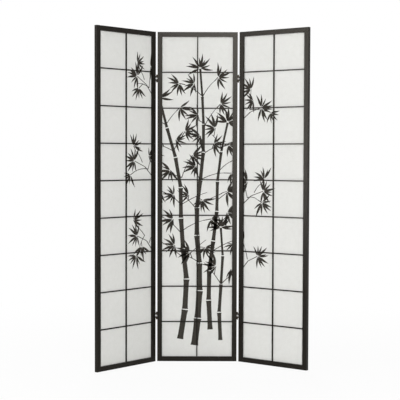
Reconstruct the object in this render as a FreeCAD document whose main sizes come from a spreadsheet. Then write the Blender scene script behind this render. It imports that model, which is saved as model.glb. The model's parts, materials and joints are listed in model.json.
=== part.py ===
import FreeCAD, Part
import os
import re

import Sketcher

# A folding screen of three panels. Each panel is a timber frame with a lattice in front of
# a sheet of paper, and hinges with two pins join the wings to the centre panel.
# +Z is up, the front faces -Y, and the origin lies under the middle of the centre panel.

# Driving dimensions, in millimetres, degrees and counts.
SIZES = {
    "panel_width": 432,
    "panel_height": 1784,
    "frame_thickness": 19,
    "stile_face": 26,
    "rail_face": 26,
    "arris_radius": 1,
    "rebate_past_tenon": 2,
    "rebate_depth": 8,
    "bar_face": 6,
    "bar_depth": 6.5,
    "crossbar_count": 8,
    "tenon_length": 5,
    "tenon_shoulder": 1.5,
    "joint_clearance": 0.1,
    "paper_thickness": 0.4,
    "paper_margin": 0.5,
    "bead_recess": 1,
    "bead_radius": 2,
    "dowel_diameter": 6,
    "dowel_length": 30,
    "dowel_in_stile": 14,
    "dowel_clearance": 0.05,
    "hinge_inset": 250,
    "hinge_height": 40,
    "leaf_thickness": 1.2,
    "knuckle_diameter": 7.5,
    "barrel_clearance": 0.8,
    "knuckle_length": 7,
    "knuckle_gap": 0.3,
    "middle_knuckle_length": 8.2,
    "web_width": 7,
    "pin_diameter": 3,
    "pin_clearance": 0.05,
    "pin_proud": 1,
    "pin_head_diameter": 5,
    "pin_head_rim": 0.5,
    "pin_head_dome": 0.9,
    "screw_diameter": 2.4,
    "screw_head_diameter": 5,
    "screw_shank": 10,
    "screw_tip": 4,
    "screw_spacing": 22,
    "screw_clearance": 0.05,
    "left_fold_angle": 48,
    "right_fold_angle": 36.7,
}

# Places and lengths that follow from the driving dimensions.
HALF_WIDTH = "(panel_width / 2)"
INNER_HALF_WIDTH = "(panel_width / 2 - stile_face)"
OPENING_WIDTH = "(panel_width - 2 * stile_face)"
OPENING_HEIGHT = "(panel_height - 2 * rail_face)"
FRONT = "(-frame_thickness / 2)"
SHOULDER = "(frame_thickness / 2 - rebate_depth)"
REBATE_WIDTH = "(tenon_length + rebate_past_tenon)"
REBATE_HALF_WIDTH = f"({INNER_HALF_WIDTH} + {REBATE_WIDTH})"
REBATE_LOW = f"(rail_face - {REBATE_WIDTH})"
REBATE_HEIGHT = f"(panel_height - 2 * {REBATE_LOW})"
BAR_PITCH = f"(({OPENING_HEIGHT} + bar_face) / (crossbar_count + 1))"
FIRST_BAR = f"(rail_face + {BAR_PITCH} - bar_face)"
BAR_FRONT = f"({SHOULDER} - bar_depth)"
LAP_DEPTH = "(bar_depth / 2)"
TENON_FRONT = f"({BAR_FRONT} + tenon_shoulder)"
TENON_FACE = "(bar_face - 2 * tenon_shoulder)"
TENON_DEPTH = "(bar_depth - 2 * tenon_shoulder)"
DOWEL_Y = "(-rebate_depth / 2)"
DOWEL_BORE = "(dowel_diameter + 2 * dowel_clearance)"
BEAD_FRONT = f"({SHOULDER} + paper_thickness)"
BEAD_DEPTH = "(rebate_depth - paper_thickness - bead_recess)"
BEAD_WIDTH = f"({REBATE_WIDTH} - joint_clearance)"
BEAD_LOW = f"({REBATE_LOW} + joint_clearance)"

# Hinge places are measured outwards from the centre panel's edge.
KNUCKLE_RADIUS = "(knuckle_diameter / 2)"
PIN_Y = "(frame_thickness / 2 + pin_proud)"
PANEL_GAP = "(knuckle_diameter + barrel_clearance + leaf_thickness)"
FRONT_PIN_X = KNUCKLE_RADIUS
BACK_PIN_X = f"({PANEL_GAP} - {KNUCKLE_RADIUS})"
MIDDLE_LEAF_X = f"(({PANEL_GAP} - leaf_thickness) / 2)"
HINGE_BOTTOM = "(-hinge_height / 2)"
MIDDLE_BOTTOM = f"({HINGE_BOTTOM} + knuckle_length + knuckle_gap)"
LEAF_REACH = f"({PIN_Y} - {KNUCKLE_RADIUS} - knuckle_gap)"
PIN_BORE = "(pin_diameter + 2 * pin_clearance)"
SCREW_BORE = "(screw_diameter + 2 * screw_clearance)"
SCREW_HEAD = "leaf_thickness"
HINGE_LEVELS = {"lower": "hinge_inset", "upper": "(panel_height - hinge_inset)"}

SIDES = {"left": -1, "right": 1}
TOLERANCE = 1e-6

doc = FreeCAD.newDocument("FoldingScreen")
sheet = doc.addObject("Spreadsheet::Sheet", "Sizes")
for row, (alias, value) in enumerate(SIZES.items(), 1):
    sheet.set(f"A{row}", alias)
    sheet.set(f"B{row}", str(value))
    sheet.setAlias(f"B{row}", alias)
doc.recompute()

nodes = []


def bound(text):
    """Write an expression with each driving dimension read from the sheet."""
    def cell(match):
        word = match.group()
        return f"Sizes.{word}" if word in SIZES else word
    return re.sub(r"[a-z_]+", cell, text)


def bind(item, prop, text):
    item.setExpression(prop, bound(text))


def value_of(text):
    """The present value of an expression, for picking edges by their place."""
    return float(sheet.evalExpression(text))


def new_body(node):
    body = doc.addObject("PartDesign::Body", node)
    body.Label = node
    body.AllowCompound = True
    nodes.append(body)
    return body


def origin_feature(body, role):
    return next(feature for feature in body.Origin.OriginFeatures if feature.Role == role)


def sketch_on(body, role, place):
    sketch = body.newObject("Sketcher::SketchObject", body.Name + "_sketch")
    sketch.AttachmentSupport = (origin_feature(body, role), [""])
    sketch.MapMode = "FlatFace"
    for axis, text in zip("xyz", place):
        bind(sketch, f"AttachmentOffset.Base.{axis}", text)
    return sketch


def constrain(sketch, name, text, *constraint):
    index = sketch.addConstraint(Sketcher.Constraint(*constraint))
    sketch.renameConstraint(index, name)
    bind(sketch, f"Constraints.{name}", text)


def rectangle(body, corner, width, depth):
    """A level rectangle with its lowest corner at the given place."""
    sketch = sketch_on(body, "XY_Plane", corner)
    ends = [FreeCAD.Vector(x, y, 0) for x, y in ((0, 0), (1, 0), (1, 1), (0, 1))]
    for start, end in zip(ends, ends[1:] + ends[:1]):
        sketch.addGeometry(Part.LineSegment(start, end))
    for line in range(4):
        sketch.addConstraint(Sketcher.Constraint("Coincident", line, 2, (line + 1) % 4, 1))
        sketch.addConstraint(Sketcher.Constraint("Vertical" if line % 2 else "Horizontal", line))
    sketch.addConstraint(Sketcher.Constraint("Coincident", 0, 1, -1, 1))
    constrain(sketch, "Width", width, "DistanceX", 0, 1, 0, 2, 1)
    constrain(sketch, "Depth", depth, "DistanceY", 1, 1, 1, 2, 1)
    return sketch


def circles(body, role, place, diameter, climbs=()):
    """A circle at the given place, and more of them straight above it in the sketch."""
    sketch = sketch_on(body, role, place)
    for number, climb in enumerate(("0",) + tuple(climbs)):
        centre = FreeCAD.Vector(0, number, 0)
        circle = sketch.addGeometry(Part.Circle(centre, FreeCAD.Vector(0, 0, 1), 0.2))
        constrain(sketch, f"Diameter{number}", diameter, "Diameter", circle, 0.4)
        if number == 0:
            sketch.addConstraint(Sketcher.Constraint("Coincident", circle, 3, -1, 1))
        else:
            sketch.addConstraint(Sketcher.Constraint("PointOnObject", circle, 3, -2))
            constrain(sketch, f"Climb{number}", climb, "DistanceY", -1, 1, circle, 3, number)
    return sketch


def pad(body, sketch, length):
    feature = body.newObject("PartDesign::Pad", body.Name + "_pad")
    feature.Profile = sketch
    bind(feature, "Length", length)
    body.Tip = feature
    return feature


def pocket(body, sketch, length, forwards=True):
    """Cut along the sketch's normal, or against it, and make sure that something went."""
    doc.recompute()
    before = body.Shape.Volume
    feature = body.newObject("PartDesign::Pocket", body.Name + "_pocket")
    feature.Profile = sketch
    feature.Reversed = forwards
    bind(feature, "Length", length)
    body.Tip = feature
    doc.recompute()
    if body.Shape.Volume >= before - TOLERANCE:
        raise RuntimeError(f"{body.Label}: a pocket cuts nothing")
    return feature


def copies(body, features, count, spacing):
    """Repeat features upwards at an even spacing."""
    pattern = body.newObject("PartDesign::LinearPattern", body.Name + "_copies")
    pattern.Originals = features
    pattern.Direction = (origin_feature(body, "Z_Axis"), [""])
    bind(pattern, "Length", f"{spacing} * ({count} - 1)")
    bind(pattern, "Occurrences", count)
    body.Tip = pattern
    return pattern


def round_edges(body, base, radius, chosen):
    """Round the straight edges whose two ends pass the test."""
    doc.recompute()
    names = []
    for number, edge in enumerate(base.Shape.Edges, 1):
        if chosen(*(vertex.Point for vertex in edge.Vertexes)):
            names.append(f"Edge{number}")
    feature = body.newObject("PartDesign::Fillet", body.Name + "_fillet")
    feature.Base = (base, names)
    bind(feature, "Radius", radius)
    body.Tip = feature
    return feature


def near(first, second):
    return abs(first - second) < TOLERANCE


def turned_piece(name, steps):
    """A turned piece along +Z: each step is a start radius, an end radius and a length."""
    tools = []
    height = "0"
    for number, (start, end, length) in enumerate(steps):
        if start == end:
            tool = doc.addObject("Part::Cylinder", f"{name}_step{number}")
            bind(tool, "Radius", start)
        else:
            tool = doc.addObject("Part::Cone", f"{name}_step{number}")
            bind(tool, "Radius1", start)
            bind(tool, "Radius2", end)
        bind(tool, "Height", length)
        bind(tool, "Placement.Base.z", height)
        tools.append(tool)
        height = f"{height} + {length}"
    piece = doc.addObject("Part::MultiFuse", name)
    piece.Shapes = tools
    return piece


def put(piece, place):
    for axis, text in zip("xyz", place):
        bind(piece, f"Placement.Base.{axis}", text)


def group(node, pieces):
    """Separate solids of one kind that share a node."""
    compound = doc.addObject("Part::Compound", node)
    compound.Label = node
    compound.Links = pieces
    nodes.append(compound)
    return compound


def swing(item, side, start_x, height="0"):
    """Seat an item that turns with a wing about the front pins of its joint."""
    sign = SIDES[side]
    turn = f"({-sign} * {side}_fold_angle)"
    pin_x = f"({sign} * ({HALF_WIDTH} + {FRONT_PIN_X}))"
    across = f"({sign} * {start_x} - {pin_x})"
    cosine = f"cos({turn} * 1deg)"
    sine = f"sin({turn} * 1deg)"
    put(item, (
        f"{pin_x} + {across} * {cosine} - {PIN_Y} * {sine}",
        f"-{PIN_Y} + {across} * {sine} + {PIN_Y} * {cosine}",
        height,
    ))
    bind(item, "Placement.Rotation.Angle", turn)


def mirrored(sign, start, width):
    """The lowest x of a block that starts so far out on the left or the right."""
    return start if sign > 0 else f"-({start} + {width})"


def stile(node, sign, hinged):
    """An upright of the frame, with its rebate, mortises, dowel bores and pilot holes."""
    body = new_body(node)
    low_x = mirrored(sign, INNER_HALF_WIDTH, "stile_face")
    outline = rectangle(body, (low_x, FRONT, "0"), "stile_face", "frame_thickness")
    blank = pad(body, outline, "panel_height")
    inner_x = sign * value_of(INNER_HALF_WIDTH)
    round_edges(body, blank, "arris_radius",
                lambda first, second: not (near(first.x, inner_x) and near(second.x, inner_x)))
    rebate_x = mirrored(sign, INNER_HALF_WIDTH, REBATE_WIDTH)
    rebate = rectangle(body, (rebate_x, SHOULDER, REBATE_LOW), REBATE_WIDTH, "rebate_depth")
    pocket(body, rebate, REBATE_HEIGHT)
    mortise_depth = "(tenon_length + joint_clearance)"
    mortise = rectangle(
        body,
        (mirrored(sign, INNER_HALF_WIDTH, mortise_depth),
         f"{TENON_FRONT} - joint_clearance",
         f"{FIRST_BAR} + tenon_shoulder - joint_clearance"),
        mortise_depth,
        f"{TENON_DEPTH} + 2 * joint_clearance")
    first_mortise = pocket(body, mortise, f"{TENON_FACE} + 2 * joint_clearance")
    copies(body, [first_mortise], "crossbar_count", BAR_PITCH)
    dowel_climbs = ("rail_face / 2", "panel_height - rail_face", "panel_height - rail_face / 2")
    dowels = circles(body, "YZ_Plane", (DOWEL_Y, "rail_face / 4", f"{sign} * {INNER_HALF_WIDTH}"),
                     DOWEL_BORE, dowel_climbs)
    pocket(body, dowels, "dowel_in_stile + dowel_clearance", forwards=sign > 0)
    if hinged:
        reach = "(panel_height - 2 * hinge_inset)"
        pilots = circles(body, "YZ_Plane",
                         ("0", "hinge_inset - screw_spacing / 2", f"{sign} * {HALF_WIDTH}"),
                         SCREW_BORE, ("screw_spacing", reach, f"{reach} + screw_spacing"))
        pocket(body, pilots, "screw_shank + screw_tip + screw_clearance", forwards=sign < 0)
    return body


def rail(node, top):
    """A crosspiece between the stiles, with its rebate, mortise and dowel bores."""
    body = new_body(node)
    low_z = f"{OPENING_HEIGHT} + rail_face" if top else "0"
    outline = rectangle(body, (f"-{INNER_HALF_WIDTH}", FRONT, low_z), OPENING_WIDTH, "frame_thickness")
    blank = pad(body, outline, "rail_face")
    outer_z = value_of("panel_height") if top else 0.0
    round_edges(body, blank, "arris_radius",
                lambda first, second: near(first.z, outer_z) and near(second.z, outer_z)
                and near(first.y, second.y))
    rebate_z = low_z if top else REBATE_LOW
    rebate = rectangle(body, (f"-{INNER_HALF_WIDTH}", SHOULDER, rebate_z), OPENING_WIDTH, "rebate_depth")
    pocket(body, rebate, REBATE_WIDTH)
    mortise_z = low_z if top else "rail_face - tenon_length - joint_clearance"
    mortise = rectangle(
        body,
        (f"-{TENON_FACE} / 2 - joint_clearance", f"{TENON_FRONT} - joint_clearance", mortise_z),
        f"{TENON_FACE} + 2 * joint_clearance",
        f"{TENON_DEPTH} + 2 * joint_clearance")
    pocket(body, mortise, "tenon_length + joint_clearance")
    for sign in SIDES.values():
        bores = circles(body, "YZ_Plane",
                        (DOWEL_Y, f"{low_z} + rail_face / 4", f"{sign} * {INNER_HALF_WIDTH}"),
                        DOWEL_BORE, ("rail_face / 2",))
        pocket(body, bores, "dowel_length - dowel_in_stile + dowel_clearance", forwards=sign < 0)
    return body


def lattice_upright(node):
    """The tall bar, tenoned into both rails and notched behind for each crossbar."""
    body = new_body(node)
    pad(body, rectangle(body, ("-bar_face / 2", BAR_FRONT, "rail_face"), "bar_face", "bar_depth"),
        OPENING_HEIGHT)
    tenon = rectangle(body, (f"-{TENON_FACE} / 2", TENON_FRONT, "rail_face - tenon_length"),
                      TENON_FACE, TENON_DEPTH)
    pad(body, tenon, f"{OPENING_HEIGHT} + 2 * tenon_length")
    notch = rectangle(body, ("-bar_face / 2", f"{BAR_FRONT} + {LAP_DEPTH}", f"{FIRST_BAR} - joint_clearance"),
                      "bar_face", LAP_DEPTH)
    first_notch = pocket(body, notch, "bar_face + 2 * joint_clearance")
    copies(body, [first_notch], "crossbar_count", BAR_PITCH)
    return body


def lattice_crossbars(node):
    """The crossbars, tenoned into both stiles and notched in front for the upright."""
    body = new_body(node)
    bar = pad(body, rectangle(body, (f"-{INNER_HALF_WIDTH}", BAR_FRONT, FIRST_BAR),
                              OPENING_WIDTH, "bar_depth"), "bar_face")
    tenon_sketch = rectangle(
        body, (f"-{INNER_HALF_WIDTH} - tenon_length", TENON_FRONT, f"{FIRST_BAR} + tenon_shoulder"),
        f"{OPENING_WIDTH} + 2 * tenon_length", TENON_DEPTH)
    tenon = pad(body, tenon_sketch, TENON_FACE)
    notch_sketch = rectangle(body, ("-bar_face / 2 - joint_clearance", BAR_FRONT, FIRST_BAR),
                             "bar_face + 2 * joint_clearance", LAP_DEPTH)
    notch = pocket(body, notch_sketch, "bar_face")
    copies(body, [bar, tenon, notch], "crossbar_count", BAR_PITCH)
    return body


def paper(node):
    """One sheet that lies on the rebate's shoulder, behind the lattice."""
    body = new_body(node)
    half = f"({REBATE_HALF_WIDTH} - paper_margin)"
    outline = rectangle(body, (f"-{half}", SHOULDER, f"{REBATE_LOW} + paper_margin"),
                        f"2 * {half}", "paper_thickness")
    pad(body, outline, f"{REBATE_HEIGHT} - 2 * paper_margin")
    return body


def side_bead(node, sign):
    """A long strip that holds the paper's side edge in the stile's rebate."""
    body = new_body(node)
    low_x = mirrored(sign, INNER_HALF_WIDTH, BEAD_WIDTH)
    strip = pad(body, rectangle(body, (low_x, BEAD_FRONT, BEAD_LOW), BEAD_WIDTH, BEAD_DEPTH),
                f"panel_height - 2 * {BEAD_LOW}")
    inner_x = sign * value_of(INNER_HALF_WIDTH)
    back_y = value_of(f"{BEAD_FRONT} + {BEAD_DEPTH}")
    round_edges(body, strip, "bead_radius",
                lambda first, second: near(first.x, inner_x) and near(second.x, inner_x)
                and near(first.y, back_y) and near(second.y, back_y))
    return body


def end_bead(node, top):
    """A short strip between the side beads, in the rail's rebate."""
    body = new_body(node)
    low_z = f"{OPENING_HEIGHT} + rail_face" if top else BEAD_LOW
    strip = pad(body, rectangle(body, (f"-{INNER_HALF_WIDTH}", BEAD_FRONT, low_z), OPENING_WIDTH, BEAD_DEPTH),
                BEAD_WIDTH)
    inner_z = value_of(low_z if top else "rail_face")
    back_y = value_of(f"{BEAD_FRONT} + {BEAD_DEPTH}")
    round_edges(body, strip, "bead_radius",
                lambda first, second: near(first.z, inner_z) and near(second.z, inner_z)
                and near(first.y, back_y) and near(second.y, back_y))
    return body


def corner_dowels(node):
    """Two dowels across each of the frame's four corner joints."""
    pieces = []
    for sign in SIDES.values():
        start = f"{INNER_HALF_WIDTH} - dowel_length + dowel_in_stile"
        low_x = mirrored(sign, f"({start})", "dowel_length")
        for low_z in ("0", f"({OPENING_HEIGHT} + rail_face)"):
            for quarter in (1, 3):
                dowel = doc.addObject("Part::Cylinder", node + "_dowel")
                bind(dowel, "Radius", "dowel_diameter / 2")
                bind(dowel, "Height", "dowel_length")
                dowel.Placement.Rotation = FreeCAD.Rotation(FreeCAD.Vector(0, 1, 0), 90)
                put(dowel, (low_x, DOWEL_Y, f"{low_z} + {quarter} * rail_face / 4"))
                pieces.append(dowel)
    return group(node, pieces)


def panel(name):
    """All the pieces of one panel, in the panel's own place."""
    hinged = {"left": (1,), "centre": (-1, 1), "right": (-1,)}[name]
    return [
        stile(f"{name}_panel_left_stile", -1, -1 in hinged),
        stile(f"{name}_panel_right_stile", 1, 1 in hinged),
        rail(f"{name}_panel_top_rail", True),
        rail(f"{name}_panel_bottom_rail", False),
        lattice_upright(f"{name}_panel_lattice_upright"),
        lattice_crossbars(f"{name}_panel_lattice_crossbars"),
        paper(f"{name}_panel_paper"),
        side_bead(f"{name}_panel_left_bead", -1),
        side_bead(f"{name}_panel_right_bead", 1),
        end_bead(f"{name}_panel_top_bead", True),
        end_bead(f"{name}_panel_bottom_bead", False),
        corner_dowels(f"{name}_panel_corner_dowels"),
    ]


def knuckles(body, pin_x, pin_y, low_z, length):
    return pad(body, circles(body, "XY_Plane", (pin_x, pin_y, low_z), "knuckle_diameter"), length)


def bore(body, pin_x, pin_y):
    hole = circles(body, "XY_Plane", (pin_x, pin_y, HINGE_BOTTOM), PIN_BORE)
    pocket(body, hole, "hinge_height")


def outer_leaf(node, sign, on_wing):
    """A plate screwed to a panel's edge, with a knuckle at each end of its pin."""
    body = new_body(node)
    facing = 1 if on_wing else -1
    start = f"({PANEL_GAP} - leaf_thickness)" if on_wing else "0"
    low_x = mirrored(sign, start, "leaf_thickness")
    pad(body, rectangle(body, (low_x, f"-{LEAF_REACH}", HINGE_BOTTOM), "leaf_thickness", f"2 * {LEAF_REACH}"),
        "hinge_height")
    tab_y = "0" if on_wing else f"-{PIN_Y}"
    tab = pad(body, rectangle(body, (low_x, tab_y, HINGE_BOTTOM), "leaf_thickness", PIN_Y), "knuckle_length")
    pin_x = f"{sign} * {BACK_PIN_X if on_wing else FRONT_PIN_X}"
    pin_y = f"{facing} * {PIN_Y}"
    barrel = knuckles(body, pin_x, pin_y, HINGE_BOTTOM, "knuckle_length")
    copies(body, [tab, barrel], "2", "(hinge_height - knuckle_length)")
    bore(body, pin_x, pin_y)
    screw_face = f"{sign} * {start}" if on_wing else f"{sign} * leaf_thickness"
    holes = circles(body, "YZ_Plane", ("0", "-screw_spacing / 2", screw_face), SCREW_BORE, ("screw_spacing",))
    into_panel = sign > 0 if on_wing else sign < 0
    doc.recompute()
    hole = body.newObject("PartDesign::Hole", body.Name + "_hole")
    hole.Profile = holes
    hole.Reversed = into_panel
    hole.DepthType = "ThroughAll"
    hole.HoleCutType = "Countersink"
    hole.HoleCutCustomValues = True
    bind(hole, "Diameter", SCREW_BORE)
    bind(hole, "HoleCutDiameter", "screw_head_diameter + 2 * screw_clearance")
    countersink = f"2 * atan((screw_head_diameter - screw_diameter) / (2 * {SCREW_HEAD}))"
    bind(hole, "HoleCutCountersinkAngle", countersink)
    body.Tip = hole
    return body


def middle_leaf(node, sign):
    """The leaf between the pins: two straps tied by a web, with open space beside it."""
    body = new_body(node)
    low_x = mirrored(sign, MIDDLE_LEAF_X, "leaf_thickness")
    web = rectangle(body, (low_x, "-web_width / 2", MIDDLE_BOTTOM), "leaf_thickness", "web_width")
    pad(body, web, f"-2 * {MIDDLE_BOTTOM}")
    strap = pad(body, rectangle(body, (low_x, f"-{PIN_Y}", MIDDLE_BOTTOM), "leaf_thickness", f"2 * {PIN_Y}"),
                "middle_knuckle_length")
    front = knuckles(body, f"{sign} * {FRONT_PIN_X}", f"-{PIN_Y}", MIDDLE_BOTTOM, "middle_knuckle_length")
    back = knuckles(body, f"{sign} * {BACK_PIN_X}", PIN_Y, MIDDLE_BOTTOM, "middle_knuckle_length")
    copies(body, [strap, front, back], "2", f"(-2 * {MIDDLE_BOTTOM} - middle_knuckle_length)")
    bore(body, f"{sign} * {FRONT_PIN_X}", f"-{PIN_Y}")
    bore(body, f"{sign} * {BACK_PIN_X}", PIN_Y)
    return body


def pins(node, pin_x, pin_y):
    """A headed pin for each hinge of a joint."""
    head = "pin_head_diameter / 2"
    shank = "pin_diameter / 2"
    steps = [
        (shank, head, "pin_head_dome"),
        (head, head, "pin_head_rim"),
        (shank, shank, "hinge_height + 2 * pin_clearance"),
        (head, head, "pin_head_rim"),
        (head, shank, "pin_head_dome"),
    ]
    pieces = []
    for level, height in HINGE_LEVELS.items():
        pin = turned_piece(f"{node}_{level}", steps)
        low_z = f"{height} + {HINGE_BOTTOM} - pin_clearance - pin_head_rim - pin_head_dome"
        put(pin, (pin_x, pin_y, low_z))
        pieces.append(pin)
    return group(node, pieces)


def leaf_screws(node, sign, on_wing):
    """Countersunk screws, flush with the leaf, two to each hinge."""
    shank = "screw_diameter / 2"
    steps = [
        ("screw_head_diameter / 2", shank, SCREW_HEAD),
        (shank, shank, "screw_shank"),
        (shank, "screw_diameter / 16", "screw_tip"),
    ]
    start = f"({PANEL_GAP} - leaf_thickness)" if on_wing else "leaf_thickness"
    points_outwards = (sign > 0) == on_wing
    pieces = []
    for level, height in HINGE_LEVELS.items():
        for half, end in ((-1, "low"), (1, "high")):
            screw = turned_piece(f"{node}_{level}_{end}", steps)
            quarter_turn = 90 if points_outwards else -90
            screw.Placement.Rotation = FreeCAD.Rotation(FreeCAD.Vector(0, 1, 0), quarter_turn)
            put(screw, (f"{sign} * {start}", "0", f"{height} + {half} * screw_spacing / 2"))
            pieces.append(screw)
    return group(node, pieces)


def hinge_joint(side):
    """The two hinges between the centre panel and one wing."""
    sign = SIDES[side]
    edge = f"{sign} * {HALF_WIDTH}"
    for level, height in HINGE_LEVELS.items():
        put(outer_leaf(f"{side}_{level}_hinge_centre_leaf", sign, False), (edge, "0", height))
        swing(middle_leaf(f"{side}_{level}_hinge_middle_leaf", sign), side, HALF_WIDTH, height)
        swing(outer_leaf(f"{side}_{level}_hinge_wing_leaf", sign, True), side, HALF_WIDTH, height)
    put(pins(f"{side}_hinge_front_pins", f"{sign} * {FRONT_PIN_X}", f"-{PIN_Y}"), (edge, "0", "0"))
    swing(pins(f"{side}_hinge_back_pins", f"{sign} * {BACK_PIN_X}", PIN_Y), side, HALF_WIDTH)
    put(leaf_screws(f"{side}_hinge_centre_screws", sign, False), (edge, "0", "0"))
    swing(leaf_screws(f"{side}_hinge_wing_screws", sign, True), side, HALF_WIDTH)


panel("centre")
for side in SIDES:
    for piece in panel(side):
        swing(piece, side, f"(panel_width + {PANEL_GAP})")
    hinge_joint(side)
doc.recompute()

for item in doc.Objects:
    if "Invalid" in item.State or "Error" in item.State:
        raise RuntimeError(f"{item.Label} did not build: {item.State}")
for node in nodes:
    if node.Shape.isNull() or not node.Shape.isValid():
        raise RuntimeError(f"{node.Label} has no valid shape")

os.makedirs("parts", exist_ok=True)
for node in nodes:
    node.Shape.exportStep(f"parts/{node.Label}.step")
    print(f"{node.Label}: {len(node.Shape.Solids)} solids, {node.Shape.Volume:.0f} mm3")
print(f"{len(nodes)} nodes")
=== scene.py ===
# %% [markdown]
# # A folding room divider
# The real object is a screen of three equal panels. Each panel is a black timber frame with a
# thin lattice in front of one sheet of white paper, and small bronze hinges join the panels.
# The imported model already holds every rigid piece, so this lesson adds what Blender is good at:
# wood, paper and metal that look real, a printed ink picture, screw heads, light and a camera.

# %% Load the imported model
import json
import math
import random

import bmesh
import bpy
from mathutils import Matrix, Vector


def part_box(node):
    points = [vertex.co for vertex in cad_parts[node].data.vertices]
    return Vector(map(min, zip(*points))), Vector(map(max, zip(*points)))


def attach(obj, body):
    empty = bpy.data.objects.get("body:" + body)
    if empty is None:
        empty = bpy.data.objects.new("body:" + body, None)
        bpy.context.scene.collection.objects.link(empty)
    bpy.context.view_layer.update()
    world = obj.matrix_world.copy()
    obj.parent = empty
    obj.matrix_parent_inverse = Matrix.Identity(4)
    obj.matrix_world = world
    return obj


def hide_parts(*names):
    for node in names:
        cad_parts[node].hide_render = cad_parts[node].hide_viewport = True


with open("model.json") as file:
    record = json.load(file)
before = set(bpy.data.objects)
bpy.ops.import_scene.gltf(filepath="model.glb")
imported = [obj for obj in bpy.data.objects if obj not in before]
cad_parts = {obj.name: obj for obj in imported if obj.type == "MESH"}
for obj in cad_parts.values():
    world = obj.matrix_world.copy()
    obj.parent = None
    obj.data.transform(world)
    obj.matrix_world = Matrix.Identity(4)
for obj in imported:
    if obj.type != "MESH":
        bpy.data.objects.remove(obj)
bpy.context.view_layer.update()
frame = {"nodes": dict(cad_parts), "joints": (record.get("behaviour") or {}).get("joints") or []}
MM = 0.001

# %% [markdown]
# ## Small helpers
# Every material and every Geometry Nodes tree below is a list of nodes with settings and links.
# One function that adds a node, sets its options and fills or links its inputs keeps those lists
# short. Colours are written as sRGB hex, as a colour picker shows them, and are turned into the
# linear numbers that Blender calculates with.

# %% Colours and nodes
def colour(code):
    """A linear colour from an sRGB hex code."""
    parts = [int(code[i:i + 2], 16) / 255 for i in (0, 2, 4)]
    return (*[p / 12.92 if p <= 0.04045 else ((p + 0.055) / 1.055) ** 2.4 for p in parts], 1.0)


def add_node(tree, kind, inputs=None, **settings):
    """Add a node, set its options, then fill each named input or link a socket to it."""
    node = tree.nodes.new(kind)
    for option, value in settings.items():
        setattr(node, option, value)
    for name, value in (inputs or {}).items():
        if isinstance(value, bpy.types.NodeSocket):
            tree.links.new(value, node.inputs[name])
        else:
            node.inputs[name].default_value = value
    return node


def new_material(name):
    """An empty node material with its Principled shader, ready for a pattern."""
    material = bpy.data.materials.new(name)
    material.use_nodes = True
    return material, material.node_tree, material.node_tree.nodes["Principled BSDF"]


print("white is", colour("ffffff")[:3])

# %% [markdown]
# ## Where the panels stand
# The centre panel stands square to the front. A wing is the same panel moved one pitch sideways
# and swung forward about the front pins of its hinges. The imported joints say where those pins
# are and how far each wing is swung, so one matrix per panel puts new pieces in the right place.

# %% Panel places
PANEL_WIDTH = 432 * MM
PANEL_HEIGHT = 1784 * MM
PANEL_GAP = 9.5 * MM
PANEL_PITCH = PANEL_WIDTH + PANEL_GAP
PAPER_FRONT = 1.5 * MM
PANELS = {"left": -1, "centre": 0, "right": 1}
BODIES = {"left": "left_wing", "centre": "centre_panel", "right": "right_wing"}
joints = {joint["name"]: joint for joint in frame["joints"]}
swing = {"centre": 0.0}
place = {"centre": Matrix.Identity(4)}
for side in ("left", "right"):
    pin = joints[f"{side}_front_fold"]
    swing[side] = math.radians(PANELS[side] * pin["range_deg"][0])
    turn = Matrix.Translation(pin["pos_m"]) @ Matrix.Rotation(swing[side], 4, "Z")
    start = Vector((PANELS[side] * PANEL_PITCH, 0, 0)) - Vector(pin["pos_m"])
    place[side] = turn @ Matrix.Translation(start)
    print(side, "wing swung", round(math.degrees(swing[side]), 1), "degrees")

# %% [markdown]
# ## Black-stained softwood
# Cheap light timber is stained black and sprayed with a satin lacquer. The eye sees a deep
# brown-black with faint lengthwise grain, a soft sheen, and slightly paler rubbed arrises.
# The grain is noise drawn out along the piece: 2.5 mm across and 90 mm along. Uprights have it
# along Z and crosspieces along the panel's width, so each panel needs its own turned mapping.

# %% Black wood
GRAIN_ACROSS = 2.5 * MM
GRAIN_ALONG = 90 * MM
ARRIS = 1.6 * MM
PORE_DEPTH = 0.15 * MM
RUBBED_PATCHES = 45.0


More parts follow.
